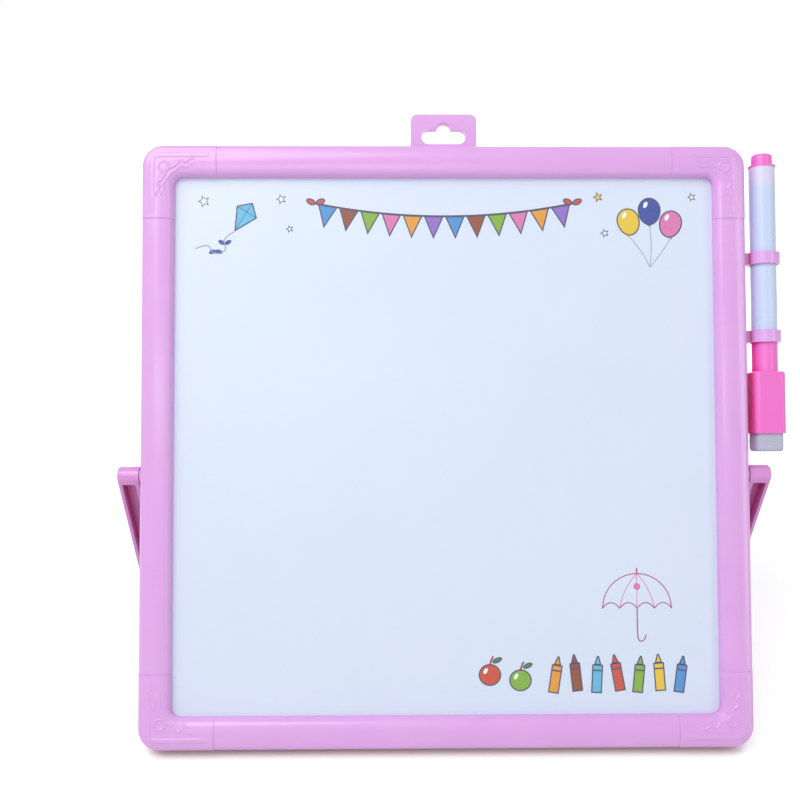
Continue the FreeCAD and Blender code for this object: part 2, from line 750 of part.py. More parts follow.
def pen_cap():
    """Cap: a round tube above a square block, whose foot is hollowed for the felt."""
    body = new_body("pen_cap")
    block = new_sketch(body, "block", "XY_Plane", f"-{BLOCK_FOOT}")
    square(block, "block_width", "block_corner")
    pad(body, block, "block_height")
    top = -measure(BLOCK_TOP)
    round_edges(body, "block_round", "block_edge",
                lambda edge: all(abs(v.Point.z - top) < measure("block_edge") for v in edge.Vertexes))
    tube = new_sketch(body, "tube", "XY_Plane", f"-{BLOCK_TOP}")
    circle(tube, "0", "0", "cap_tube_radius")
    pad(body, tube, "cap_tube_length")
    bore = new_sketch(body, "bore", "XY_Plane", f"-{CAP_TOP}")
    circle(bore, "0", "0", "(grip_radius + cap_bore_clearance)")
    pocket(body, bore, "grip_length + nose_length + nib_reach + cap_bore_spare")
    socket = new_sketch(body, "socket", "XY_Plane", f"-{BLOCK_FOOT}")
    square(socket, "(block_width - 2*felt_inset + 2*fit_clearance)", "felt_corner")
    pocket(body, socket, "felt_socket", reverse=True)
    place(body, PEN_X, "0", LOWER_RING)
    return body


def felt_eraser():
    """Felt block pressed into the foot of the cap."""
    body = new_body("felt_eraser")
    face = new_sketch(body, "felt", "XY_Plane", f"-({BLOCK_FOOT} + felt_reach)")
    square(face, "(block_width - 2*felt_inset)", "felt_corner")
    pad(body, face, "felt_reach + felt_socket")
    place(body, PEN_X, "0", LOWER_RING)
    return body


def clock_pin():
    """Flanged pin that the hands turn on."""
    body = new_body("clock_pin")
    back = f"({STACK}/2 - clock_sheet_thickness)"
    front = f"({back} - pin_flange_thickness)"
    end = f"({CAP_LEVEL} + hub_cap_height - hub_cap_roof)"
    profile = new_sketch(body, "pin_profile", "XY_Plane")
    outline(profile, ("0", front), ("pin_flange_radius", front), ("pin_flange_radius", back),
            ("pin_radius", back), ("pin_radius", end), ("0", end))
    revolve(body, profile)
    place(body, "0", "0", CLOCK_Z)
    return body


def hub_cap():
    """Round cap pushed on the pin's end."""
    body = new_body("hub_cap")
    top = f"({CAP_LEVEL} + hub_cap_height)"
    bore, bore_end = "(pin_radius + fit_clearance)", f"({top} - hub_cap_roof)"
    round_x, round_y = "(hub_cap_radius - hub_cap_round)", f"({top} - hub_cap_round)"
    profile = new_sketch(body, "cap_profile", "XY_Plane")
    outline(profile, (bore, CAP_LEVEL), ("hub_cap_radius", CAP_LEVEL), ("hub_cap_radius", round_y),
            (round_x, top, round_x, round_y, 1), ("0", top), ("0", bore_end), (bore, bore_end))
    revolve(body, profile)
    place(body, "0", "0", CLOCK_Z)
    return body


def clock_hand(label, level, length, angle):
    """Arrow-headed hand, turned clockwise from upright as seen from behind the board."""
    body = new_body(label)
    neck = f"({length} - hand_head_length)"
    blade = new_sketch(body, label + "_blade", "XZ_Plane", f"-{level}", angle)
    outline(blade, ("-hand_root_width/2", "0"), ("hand_root_width/2", "0"),
            ("hand_neck_width/2", neck), ("hand_head_width/2", neck), ("0", length),
            ("-hand_head_width/2", neck), ("-hand_neck_width/2", neck))
    pad(body, blade, "hand_thickness", reverse=True)
    hub = new_sketch(body, label + "_hub", "XZ_Plane", f"-{level}")
    circle(hub, "0", "0", "hub_radius")
    pad(body, hub, "hand_thickness", reverse=True)
    bore = new_sketch(body, label + "_bore", "XZ_Plane", f"-({level} - overrun)")
    circle(bore, "0", "0", "(pin_radius + pin_clearance)")
    pocket(body, bore, "hand_thickness + 2*overrun")
    place(body, "0", "0", CLOCK_Z)
    return body


def build():
    """Model every piece."""
    frame_half("front_frame", front=True)
    frame_half("back_frame", front=False)
    writing_sheet()
    core_board()
    clock_sheet()
    frame_screws()
    prop_leg("left_leg", -1)
    prop_leg("right_leg", 1)
    pen_ring("upper_pen_ring", UPPER_RING)
    pen_ring("lower_pen_ring", LOWER_RING)
    pen_pieces()
    pen_cap()
    felt_eraser()
    clock_pin()
    clock_hand("hour_hand", HOUR_LEVEL, "hour_hand_length", "hour_angle")
    clock_hand("minute_hand", MINUTE_LEVEL, "minute_hand_length", "minute_angle")
    hub_cap()
    doc.recompute()


def write_pieces():
    """Check every object, then write one file for each piece."""
    for item in doc.Objects:
        if "Invalid" in item.State or "Error" in item.State:
            raise RuntimeError(f"{item.Label} did not compute: {item.State}")
    pieces = [item for item in doc.Objects if item.TypeId == "PartDesign::Body"]
    for piece in pieces:
        if piece.Shape.isNull() or not piece.Shape.isValid():
            raise RuntimeError(f"{piece.Label} has no valid shape")
    os.makedirs("parts", exist_ok=True)
    for piece in pieces:
        piece.Shape.exportStep(f"parts/{piece.Label}.step")
        print(piece.Label, len(piece.Shape.Solids), "solids", round(piece.Shape.Volume), "mm3")
    print("lean", round(measure(LEAN), 2), "leg tilt", round(measure(LEG_TILT), 2))


build()
write_pieces()
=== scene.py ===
"""Looks of a child's dry-wipe board with a teaching clock on its back.

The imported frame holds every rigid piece. This script gives each of them its finish and adds what is
pressed, printed or soft: the relief on the frame's corners, the printed motifs, the clock's dial, the
screws' heads and the felt of the eraser. Lengths are millimetres until a Face turns them into metres;
the floor and the lamps are in metres.
"""
from __future__ import annotations

import json
import logging
import math
from abc import ABC, abstractmethod
from collections.abc import Callable, Iterable, Sequence
from dataclasses import dataclass, field, replace
from enum import Enum
from functools import lru_cache

import bmesh
import bpy
from bmesh.types import BMesh, BMFace, BMVert
from bpy.types import Curve, Material, Mesh, Node, NodeSocket, NodeTree, Object
from mathutils import Matrix, Vector, noise

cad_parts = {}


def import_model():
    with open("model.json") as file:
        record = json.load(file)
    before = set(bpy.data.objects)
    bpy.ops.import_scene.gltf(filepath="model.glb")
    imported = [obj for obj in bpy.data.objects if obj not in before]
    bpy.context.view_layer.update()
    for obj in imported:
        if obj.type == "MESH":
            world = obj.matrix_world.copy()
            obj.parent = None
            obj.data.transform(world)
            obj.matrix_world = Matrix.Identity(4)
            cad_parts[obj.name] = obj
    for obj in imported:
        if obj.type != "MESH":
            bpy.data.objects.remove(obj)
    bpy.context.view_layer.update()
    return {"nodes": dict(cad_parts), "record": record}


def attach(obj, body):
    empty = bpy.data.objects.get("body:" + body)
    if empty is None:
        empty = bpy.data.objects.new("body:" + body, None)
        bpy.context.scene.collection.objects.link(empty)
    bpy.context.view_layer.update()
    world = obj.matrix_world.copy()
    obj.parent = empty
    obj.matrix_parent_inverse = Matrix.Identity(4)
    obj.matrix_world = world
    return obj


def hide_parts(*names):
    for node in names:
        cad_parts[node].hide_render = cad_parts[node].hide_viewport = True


LOG = logging.getLogger("board")
MM = 0.001
SKY_SAMPLES = 8
SHADER = "Principled BSDF"
Point = tuple[float, float]
Span = tuple[float, float]
Place = tuple[float, float, float]
Colour = tuple[float, float, float, float]
Sockets = tuple[tuple[str, float], ...]
FULL_WHITE: Colour = (1.0, 1.0, 1.0, 1.0)


class Ink(Enum):
    """Printing inks, by their colour on the white sheet."""

    LINE = "#4B4A66"
    GREY = "#98A3B8"
    BLUE = "#4C8FD0"
    NAVY = "#3A4C9A"
    CYAN = "#63B7DC"
    GREEN = "#7FAE3A"
    LEAF = "#3B8A3F"
    YELLOW = "#E6C53F"
    ORANGE = "#E39A3A"
    RED = "#C9503C"
    BROWN = "#8E4B35"
    PINK = "#D878AE"
    VIOLET = "#8F6BC4"
    PLUM = "#A9497F"
    WHITE = "#F2F6FC"


def linear(code: str) -> Colour:
    """Linear colour of an sRGB hex code.

    Args:
        code: colour as "#RRGGBB"

    Returns:
        red, green, blue and full alpha
    """
    parts = [int(code[i:i + 2], 16) / 255 for i in (1, 3, 5)]
    red, green, blue = (c / 12.92 if c <= 0.04045 else ((c + 0.055) / 1.055) ** 2.4
                        for c in parts)
    return red, green, blue, 1.0


def per_metre(size_mm: float) -> float:
    """Texture scale at which one feature of a pattern is about a size in millimetres."""
    return 1 / (size_mm * MM)


def add_node(tree: NodeTree, kind: str, inputs: dict | None = None, **settings: object) -> Node:
    """Add a shader node with its settings and links.

    Args:
        tree: node tree that gets the node
        kind: identifier of the node's type
        inputs: values, or sockets to link from, by input name or number
        settings: properties of the node itself

    Returns:
        the new node
    """
    node = tree.nodes.new(kind)
    for name, value in settings.items():
        setattr(node, name, value)
    for key, value in (inputs or {}).items():
        if isinstance(value, NodeSocket):
            tree.links.new(value, node.inputs[key])
        else:
            node.inputs[key].default_value = value
    return node


@dataclass(frozen=True)
class Finish:
    """Surface of one real material: colour that drifts between two tones, under an uneven skin."""

    name: str
    light: str
    deep: str
    patch_mm: float
    dimple_mm: float
    depth_mm: float
    gloss: Span
    sockets: Sockets = ()

    def colour(self, tree: NodeTree, place: NodeSocket) -> NodeSocket:
        """Colour of the surface.

        Args:
            tree: the material's node tree
            place: position on the piece, in metres

        Returns:
            colour socket
        """
        patches = add_node(tree, "ShaderNodeTexNoise",
                           {"Vector": place, "Scale": per_metre(self.patch_mm), "Detail": 3.0})
        tones = {0: patches.outputs["Fac"], 6: linear(self.light), 7: linear(self.deep)}
        return add_node(tree, "ShaderNodeMix", tones, data_type="RGBA").outputs[2]

    @lru_cache(maxsize=None)
    def material(self) -> Material:
        """Colour, a shallow bump and a roughness that wanders with the bump.

        Returns:
            the material, made when first asked for, that every piece with this finish shares
        """
        made = bpy.data.materials.new(self.name)
        made.use_nodes = True
        tree = made.node_tree
        shader = tree.nodes[SHADER]
        place = add_node(tree, "ShaderNodeTexCoord").outputs["Object"]
        tree.links.new(self.colour(tree, place), shader.inputs["Base Color"])
        grain = {"Vector": place, "Scale": per_metre(self.dimple_mm), "Detail": 2.0}
        dimples = add_node(tree, "ShaderNodeTexNoise", grain).outputs["Fac"]
        smooth, rough = self.gloss
        wander = add_node(tree, "ShaderNodeMapRange", {"Value": dimples, "To Min": smooth, "To Max": rough})
        bump = add_node(tree, "ShaderNodeBump",
                        {"Height": dimples, "Strength": 1.0, "Distance": self.depth_mm * MM})
        tree.links.new(wander.outputs["Result"], shader.inputs["Roughness"])
        tree.links.new(bump.outputs["Normal"], shader.inputs["Normal"])
        for socket, value in self.sockets:
            shader.inputs[socket].default_value = value
        return made


@dataclass(frozen=True, kw_only=True)
class MouldedStyrene(Finish):
    """High-impact polystyrene from a polished mould: soft gloss, faint flow marks, a hint of dimpling."""

    # Colours of painted shade in hollows, the crevice one for the tightest, not colours of the plastic itself
    recess: str
    crevice: str
    patch_mm: float = 38.0
    dimple_mm: float = 2.2
    depth_mm: float = 0.012
    gloss: Span = (0.19, 0.29)
    sockets: Sockets = (("IOR", 1.59),)
    recess_mm: float = 9.0
    recess_sky: Span = (0.16, 0.6)
    crevice_sky: Span = (0.02, 0.2)
    open_shine: float = 0.5

    def colour(self, tree: NodeTree, place: NodeSocket) -> NodeSocket:
        """Flow marks under painted shade: a fuller, darker colour and less shine where walls stand close.

        Args:
            tree: the material's node tree
            place: position on the piece, in metres

        Returns:
            colour socket
        """
        flow = super().colour(tree, place)
        # Painted shade: ambient occlusion mixes the shade colours in where walls stand near
        sky = add_node(tree, "ShaderNodeAmbientOcclusion", {"Distance": self.recess_mm * MM},
                       samples=SKY_SAMPLES).outputs["AO"]
        tone: Colour | NodeSocket = linear(self.crevice)
        for (low, high), opener in ((self.crevice_sky, linear(self.recess)), (self.recess_sky, flow)):
            openness = add_node(tree, "ShaderNodeMapRange",
                                {"Value": sky, "From Min": low, "From Max": high}).outputs["Result"]
            tone = add_node(tree, "ShaderNodeMix", {0: openness, 6: tone, 7: opener},
                            data_type="RGBA").outputs[2]
        # The shine is dimmed in the same hollows, painted shade on the reflection
        shine = add_node(tree, "ShaderNodeMapRange",
                         {"Value": openness, "To Min": 0.0, "To Max": self.open_shine})
        tree.links.new(shine.outputs["Result"], tree.nodes[SHADER].inputs["Specular IOR Level"])
        return tone


@dataclass(frozen=True, kw_only=True)
class PenTube(Finish):
    """Thin milky polypropylene tube: smooth, and tinted from inside by the plug's stem."""

    stem: str
    stem_mm: Span
    turn: float
    patch_mm: float = 45.0
    dimple_mm: float = 14.0
    depth_mm: float = 0.003
    gloss: Span = (0.22, 0.32)
    sockets: Sockets = (("IOR", 1.49),)

    def colour(self, tree: NodeTree, place: NodeSocket) -> NodeSocket:
        """Milky white, with the stem's colour showing through at the top.

        Args:
            tree: the material's node tree
            place: position on the piece, in metres

        Returns:
            colour socket
        """
        white = super().colour(tree, place)
        along = add_node(tree, "ShaderNodeMapping", {"Vector": place, "Rotation": (self.turn, 0.0, 0.0)})
        height = add_node(tree, "ShaderNodeSeparateXYZ", {0: along.outputs["Vector"]}).outputs["Z"]
        foot, top = self.stem_mm
        share = add_node(tree, "ShaderNodeMapRange",
                         {"Value": height, "From Min": foot * MM, "From Max": top * MM},
                         interpolation_type="SMOOTHSTEP").outputs["Result"]
        return add_node(tree, "ShaderNodeMix", {0: share, 6: white, 7: linear(self.stem)},
                        data_type="RGBA").outputs[2]


@dataclass(frozen=True)
class DryWipeFilm(Finish):
    """Lacquered white film: smooth and even, with a slow ripple where it lies on its board."""

    patch_mm: float = 60.0
    dimple_mm: float = 9.0
    depth_mm: float = 0.01
    gloss: Span = (0.32, 0.4)
    sockets: Sockets = (("IOR", 1.5),)


@dataclass(frozen=True)
class ScreenInk(Finish):
    """Screen-printed ink: flat colour that the screen's mesh leaves a little uneven."""

    # A real screen's mesh is finer. It is drawn coarse enough to show.
    patch_mm: float = 0.9
    dimple_mm: float = 0.9
    depth_mm: float = 0.004
    gloss: Span = (0.38, 0.5)


@dataclass(frozen=True)
class WoolFelt(Finish):
    """Pressed grey felt: no gloss, flecks of lighter and darker fibre, a soft edge light."""

    patch_mm: float = 0.8
    dimple_mm: float = 0.35
    depth_mm: float = 0.12
    gloss: Span = (0.9, 1.0)
    sockets: Sockets = (("Sheen Weight", 0.35), ("Sheen Roughness", 0.6), ("Specular IOR Level", 0.15))


@dataclass(frozen=True)
class ZincSteel(Finish):
    """Zinc-plated steel: grey, with the cloudy gloss of barrel plating."""

    patch_mm: float = 0.9
    dimple_mm: float = 0.5
    depth_mm: float = 0.01
    gloss: Span = (0.28, 0.5)
    sockets: Sockets = (("Metallic", 1.0),)


@dataclass(frozen=True)
class PressedFibre(Finish):
    """Matted fibre, such as hardboard, a nib or an ink filler: dull, with short dark strands."""

    patch_mm: float = 1.5
    dimple_mm: float = 1.5
    depth_mm: float = 0.08
    gloss: Span = (0.8, 0.95)


# The recess and crevice colours below are painted shade for hollows and crevices
LILAC = MouldedStyrene("lilac_styrene", "#E5AFEC", "#DDA1E5", recess="#CC4C86", crevice="#98285C")
# The legs are the frame's lilac; this darker, pinker copy paints the shade that falls on them behind the
# board
LEG_SHADED_LILAC = MouldedStyrene("leg_styrene", "#DF98DB", "#D78CD3", recess="#CC3C6C", crevice="#9C224C")
HOT_PINK = MouldedStyrene("hot_pink_styrene", "#F67AD8", "#F06CC8", recess="#FF3CA8", crevice="#FF348E",
                          patch_mm=16.0, recess_sky=(0.22, 0.64), gloss=(0.26, 0.36))
VIOLET = MouldedStyrene("violet_styrene", "#7A56C8", "#6B48B8", recess="#5A36A0", crevice="#3C2270",
                        patch_mm=18.0)
MILKY = MouldedStyrene("milky_styrene", "#DCE5F6", "#D2DDF2", recess="#C4CEE8", crevice="#9AA4C4",
                       patch_mm=12.0)
SHEET = DryWipeFilm("dry_wipe_film", "#DEE9FA", "#D8E4F7")
DIAL = DryWipeFilm("dial_film", "#EEF2F8", "#E6ECF5")
FELT = WoolFelt("grey_felt", "#D0D0E2", "#A8AAC2")
STEEL = ZincSteel("zinc_steel", "#B9BCC2", "#8F939B")
HARDBOARD = PressedFibre("hardboard", "#8A6546", "#6A4B32")
INKED_FIBRE = PressedFibre("inked_fibre", "#26262E", "#131318", patch_mm=0.6, dimple_mm=0.6)


def ink_finish(ink: Ink, paler: float = 0.12) -> ScreenInk:
    """Finish of one printing ink.

    Args:
        ink: the ink
        paler: how far its specks go from its colour towards white

    Returns:
        the finish
    """
    parts = [int(ink.value[i:i + 2], 16) for i in (1, 3, 5)]
    specks = "#" + "".join(f"{round(c + (255 - c) * paler):02X}" for c in parts)
    return ScreenInk("ink_" + ink.name.lower(), specks, ink.value)


@dataclass(frozen=True)
class Face:
    """Flat face of the board, with its own right, up and outward directions."""

    centre: Vector
    right: Vector
    up: Vector
    out: Vector

    def matrix(self) -> Matrix:
        """Transform from millimetres on the face to the frame's metres."""
        turn = Matrix((self.right, self.up, self.out)).transposed().to_4x4()
        return Matrix.Translation(self.centre) @ turn @ Matrix.Scale(MM, 4)

    def extent(self, piece: Object) -> tuple[Vector, Vector]:
        """Box of a piece along the face's directions.

        Args:
            piece: object whose mesh is measured

        Returns:
            its lowest and highest corner, in millimetres
        """
        back = self.matrix().inverted()
        spots = [back @ v.co for v in piece.data.vertices]
        return (Vector([min(s[i] for s in spots) for i in range(3)]),
                Vector([max(s[i] for s in spots) for i in range(3)]))


def board_faces(record: dict) -> tuple[Face, Face]:
    """Writing face and clock face of the leaning board.

    Args:
        record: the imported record, whose mounts and joints give the places

    Returns:
        front face and back face
    """
    writing = next(m for m in record["mounts"] if m["name"] == "writing_face")
    clock = next(j for j in record["behaviour"]["joints"] if j["name"] == "hour_hand_turn")
    out = Vector(writing["axis"]).normalized()
    right = Vector((1.0, 0.0, 0.0))
    up = out.cross(right)
    return (Face(Vector(writing["pos_m"]), right, up, out),
            Face(Vector(clock["pos_m"]), -right, up, -out))


def mesh_of(curve: Curve) -> Mesh:
    """Mesh of a curve or text, which is used up.

    Args:
        curve: curve data

    Returns:
        its mesh
    """
    holder = bpy.data.objects.new(curve.name, curve)
    mesh = bpy.data.meshes.new_from_object(holder)
    bpy.data.objects.remove(holder)
    bpy.data.curves.remove(curve)
    return mesh


def line_curve(points: Sequence[Point], radius: float, closed: bool = False, smooth: bool = True) -> Curve:
    """Curve through or near some points.

    Args:
        points: places in millimetres
        radius: half the line's width, or zero for the bare line
        closed: whether it comes back to its start
        smooth: whether the points are control points of a smooth line

    Returns:
        curve data
    """
    curve = bpy.data.curves.new("line", "CURVE")
    curve.dimensions = "3D"
    curve.bevel_depth = radius
    curve.bevel_resolution = 1
    curve.use_fill_caps = True
    curve.resolution_u = 6
    spline = curve.splines.new("NURBS" if smooth else "POLY")
    spline.points.add(len(points) - 1)
    for control, place in zip(spline.points, points):
        control.co = (*place, 0.0, 1.0)
    spline.use_cyclic_u = closed
    if smooth:
        spline.order_u = 3
        spline.use_endpoint_u = not closed
    return curve


def spot(x: float, y: float, turn: float = 0.0, lift: float = 0.0) -> Matrix:
    """Place on a print, with a turn in degrees, or lifted to lie on another shape."""
    return Matrix.Translation((x, y, lift)) @ Matrix.Rotation(math.radians(turn), 4, "Z")


def new_piece(name: str, shape: BMesh, finishes: Iterable[Finish], body: str,
              smooth: bool = False) -> Object:
    """Object from a finished mesh, riding on a body.

    Args:
        name: piece's name
        shape: its mesh in the frame's metres, which is used up
        finishes: one finish for each material number of the mesh
        body: body that carries it
        smooth: whether its faces are shaded smooth

    Returns:
        the piece
    """
    mesh = bpy.data.meshes.new(name)
    for side in shape.faces:
        side.smooth = smooth
    shape.to_mesh(mesh)
    shape.free()
    for finish in finishes:
        mesh.materials.append(finish.material())
    piece = bpy.data.objects.new(name, mesh)
    bpy.context.scene.collection.objects.link(piece)
    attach(piece, body)
    LOG.info("%s: %d faces on %s", name, len(mesh.polygons), body)
    return piece


@dataclass
class Print:
    """Thin ink shapes on one face of the board, gathered into one piece."""

    name: str
    face: Face
    slot: str
    rise: float = 0.06
    line_rise: float = 0.09
    over: float = 0.04
    outline: float = 0.6
    # Widths of drawn lines
    hair: float = 0.4
    thin: float = 0.5
    plain: float = 0.6
    stout: float = 0.7
    bold: float = 0.9
    shape: BMesh = field(default_factory=bmesh.new)
    inks: list[Ink] = field(default_factory=list)

    def number(self, ink: Ink) -> int:
        """Material number of an ink, which is added when new."""
        if ink not in self.inks:
            self.inks.append(ink)
        return self.inks.index(ink)

    def paint(self, side: BMFace, fill: Ink, place: Matrix, edge: Ink | None = Ink.LINE) -> None:
        """Colour a drawn face, with an outline inside its edge, and raise it by the ink's thickness.

        Args:
            side: flat face about the origin
            fill: ink of its inside
            place: transform to the face's millimetres
            edge: ink of its outline, or None for no outline
        """
        sides = [side]
        if edge is not None:
            rim = bmesh.ops.inset_region(self.shape, faces=[side], thickness=self.outline,
                                         use_boundary=True, use_even_offset=True)
            for part in rim["faces"]:
                part.material_index = self.number(edge)
            sides += rim["faces"]
        side.material_index = self.number(fill)
        grown = bmesh.ops.extrude_face_region(self.shape, geom=sides, use_keep_orig=True)["geom"]
        raised = [v for v in grown if isinstance(v, BMVert)]
        bmesh.ops.translate(self.shape, verts=raised, vec=(0.0, 0.0, self.rise))
        every = list({v for part in sides for v in part.verts} | set(raised))
        bmesh.ops.transform(self.shape, matrix=place, verts=every)
        around = list({f for v in every for f in v.link_faces})
        bmesh.ops.recalc_face_normals(self.shape, faces=around)

    def disc(self, place: Matrix, wide: float, high: float, fill: Ink, corners: int = 28,
             edge: Ink | None = Ink.LINE, droop: float = 1.0, waist: float = 1.0) -> None:
        """Oval, polygon with few corners, or star.

        Args:
            place: its middle's place and turn
            wide: half its width
            high: half its height
            fill: ink inside
            corners: number of corners
            edge: ink of the outline, or None
            droop: how much longer its lower half is than its upper half
            waist: how far every other corner stays out, which is under one in a star
        """
        made = bmesh.ops.create_circle(self.shape, cap_ends=True, segments=corners, radius=1.0)["verts"]
        bmesh.ops.scale(self.shape, vec=(wide, high, 1.0), verts=made)
        bmesh.ops.scale(self.shape, vec=(1.0, droop, 1.0), verts=[v for v in made if v.co.y < 0])
        bmesh.ops.scale(self.shape, vec=(waist, waist, 1.0), verts=made[1::2])
        self.paint(made[0].link_faces[0], fill, place, edge)

    def block(self, place: Matrix, wide: float, high: float, fill: Ink, top: float = 1.0,
              edge: Ink | None = Ink.LINE) -> None:
        """Upright block that narrows to a share of its width at the top.

        Args:
            place: its middle's place and turn
            wide: width of its foot
            high: height
            fill: ink inside
            top: width of its top, as a share of the foot's
            edge: ink of the outline, or None
        """
        made = bmesh.ops.create_grid(self.shape, x_segments=1, y_segments=1, size=0.5)["verts"]
        bmesh.ops.scale(self.shape, vec=(wide, high, 1.0), verts=made)
        bmesh.ops.scale(self.shape, vec=(top, 1.0, 1.0), verts=[v for v in made if v.co.y > 0])
        self.paint(made[0].link_faces[0], fill, place, edge)

    def add_mesh(self, mesh: Mesh, ink: Ink, place: Matrix) -> None:
        """Take in a mesh of one ink.

        Args:
            mesh: mesh, which is used up
            ink: its colour
            place: transform to the face's millimetres
        """
        mesh.transform(place)
        before = len(self.shape.faces)
        self.shape.from_mesh(mesh)
        self.shape.faces.ensure_lookup_table()
        for side in self.shape.faces[before:]:
            side.material_index = self.number(ink)
        bpy.data.meshes.remove(mesh)

    def stroke(self, points: Sequence[Point], width: float, ink: Ink, closed: bool = False,
               smooth: bool = True) -> None:
        """Drawn line.

        Args:
            points: places along it
            width: its width
            ink: its colour
            closed: whether it comes back to its start
            smooth: whether it bends smoothly
        """
        mesh = mesh_of(line_curve(points, width / 2, closed, smooth))
        self.add_mesh(mesh, ink, Matrix.Scale(2 * self.line_rise / width, 4, (0.0, 0.0, 1.0)))

    def figure(self, words: str, place: Matrix, size: float, ink: Ink) -> None:
        """Plain numeral of the dial.

        Args:
            words: its digits
            place: its middle's place
            size: its height of type
            ink: its colour
        """
        curve = bpy.data.curves.new("figure", "FONT")
        curve.body = words
        curve.size = size
        curve.align_x = "CENTER"
        curve.align_y = "CENTER"
        curve.extrude = self.rise
        curve.resolution_u = 4
        self.add_mesh(mesh_of(curve), ink, place)

    def finish(self) -> Object:
        """Lay the print on its face."""
        bmesh.ops.transform(self.shape, matrix=self.face.matrix(), verts=self.shape.verts)
        return new_piece(self.name, self.shape, [ink_finish(ink) for ink in self.inks], "board")


@dataclass
class PrintedSheet(ABC):
    """Sheet of the board that is printed motif by motif."""

    face: Face
    slot: str

    @abstractmethod
    def motifs(self) -> dict[str, Callable[[Print], None]]:
        """Drawing of each motif, by the name of its piece."""

    def build(self) -> None:
        """Print every motif."""
        for name, draw in self.motifs().items():
            made = Print(name, self.face, self.slot)
            draw(made)
            made.finish()


@dataclass
class WritingSheetPrint(PrintedSheet):
    """Printed motifs along the top and in the lower corner of the writing sheet."""

    slot: str = "dry_wipe_white"
    garland_reach: float = 60.0
    garland_top: float = 112.0
    garland_sag: float = 6.0
    flags: int = 12
    flag_width: float = 5.4
    flag_height: float = 7.2
    sparkle_outline: float = 0.35

    def motifs(self) -> dict[str, Callable[[Print], None]]:
        """Drawing of each motif, by the name of its piece."""
        return {"garland_print": self.garland, "kite_print": self.kite, "balloon_print": self.balloons,
                "sparkle_print": self.sparkles, "crayon_print": self.crayons, "apple_print": self.apples,
                "umbrella_print": self.umbrella}

    def garland(self, made: Print) -> None:
        """String of coloured flags, which hangs between two bows."""
        colours = (Ink.BLUE, Ink.BROWN, Ink.GREEN, Ink.PINK, Ink.ORANGE, Ink.VIOLET)

        def sag(x: float) -> float:
            """Height of the string."""
            return self.garland_top - self.garland_sag * (1 - (x / self.garland_reach) ** 2)

        pitch = 2 * self.garland_reach / self.flags
        for number in range(self.flags):
            x = -self.garland_reach + (number + 0.5) * pitch
            slope = math.degrees(math.atan(2 * self.garland_sag * x / self.garland_reach ** 2))
            made.disc(spot(x, sag(x) - self.flag_height / 2, 180 + slope), self.flag_width,
                      self.flag_height, colours[number % len(colours)], corners=3)
        stops = [-self.garland_reach + pitch * n / 2 for n in range(2 * self.flags + 1)]
        made.stroke([(x, sag(x)) for x in stops], made.bold, Ink.LINE)
        for end in (-1, 1):
            for side in (-1, 1):
                x = end * self.garland_reach + 2.2 * side
                made.disc(spot(x, self.garland_top + 0.8, 25 * side), 2.4, 1.5, Ink.RED)

    def kite(self, made: Print) -> None:
        """Kite with two bows on its tail."""
        place = spot(-92.0, 108.0, -32.0)
        made.disc(place, 5.6, 5.2, Ink.CYAN, corners=4, droop=2.1)
        for start, end in (((0.0, 5.0), (0.0, -10.6)), ((-5.4, 0.0), (5.4, 0.0))):
            sticks = [place @ Vector((*point, 0.0)) for point in (start, end)]
            made.stroke([(point.x, point.y) for point in sticks], made.thin, Ink.NAVY, smooth=False)
        foot = place @ Vector((0.0, -10.9, 0.0))
        tail = ((0.0, 0.0), (-6.0, -3.0), (-3.0, -9.0), (-10.0, -11.0), (-12.0, -5.0), (-18.0, -8.0))
        made.stroke([(foot.x + across, foot.y + down) for across, down in tail], made.plain, Ink.GREY)
        for across, down, lean in ((-4.4, -5.0, 30.0), (-8.6, -9.4, -20.0)):
            for side in (-1, 1):
                loop = spot(foot.x + across + 1.5 * side, foot.y + down, lean * side)
                made.disc(loop, 1.7, 1.0, Ink.NAVY, corners=14, edge=None)

    def balloons(self, made: Print) -> None:
        """Three balloons whose strings meet."""
        knot = (96.0, 82.0)
        for x, y, fill, turn in ((86.0, 104.0, Ink.YELLOW, 14.0), (106.0, 103.0, Ink.PINK, -14.0),
                                 (96.0, 109.0, Ink.NAVY, 0.0)):
            bend = (x + knot[0]) / 2 + 1.5, (y + knot[1]) / 2 - 3.0
            made.stroke([(x, y - 7.0), bend, knot], made.hair, Ink.GREY)
            made.disc(spot(x, y - 7.2, 90.0), 1.1, 1.1, fill, corners=3, edge=None)
            made.disc(spot(x, y, turn), 5.4, 5.8, fill, droop=1.25)
            glint = spot(x - 1.8, y + 2.4, -25.0, made.over)
            made.disc(glint, 0.9, 1.6, Ink.WHITE, corners=16, edge=None)

    def sparkles(self, made: Print) -> None:
        """Small stars between the larger motifs."""
        made.outline = self.sparkle_outline
        for x, y, size, fill in ((-76.0, 114.0, 2.6, Ink.WHITE), (-72.0, 100.0, 2.0, Ink.WHITE),
                                 (72.0, 115.0, 2.6, Ink.YELLOW), (75.0, 98.0, 2.2, Ink.WHITE),
                                 (116.0, 115.0, 2.2, Ink.WHITE), (-112.0, 113.0, 3.0, Ink.WHITE)):
            made.disc(spot(x, y, 18.0), size, size, fill, corners=10, waist=0.45)

    def crayons(self, made: Print) -> None:
        """Row of crayons along the foot of the sheet."""
        colours = (Ink.ORANGE, Ink.BROWN, Ink.CYAN, Ink.RED, Ink.GREEN, Ink.YELLOW, Ink.BLUE)
        for number, fill in enumerate(colours):
            lean = (-9.0, 6.0, -3.0, 10.0, -6.0, 4.0, -8.0)[number]
            place = spot(50.0 + 9.6 * number, -108.0 + 0.8 * (number % 2), lean)
            made.block(place @ spot(0.0, 8.3), 3.6, 4.2, fill, top=0.25)
            made.block(place, 5.0, 13.0, fill)
            made.block(place @ spot(0.0, 3.8, lift=made.over), 4.2, 0.7, Ink.LINE, edge=None)

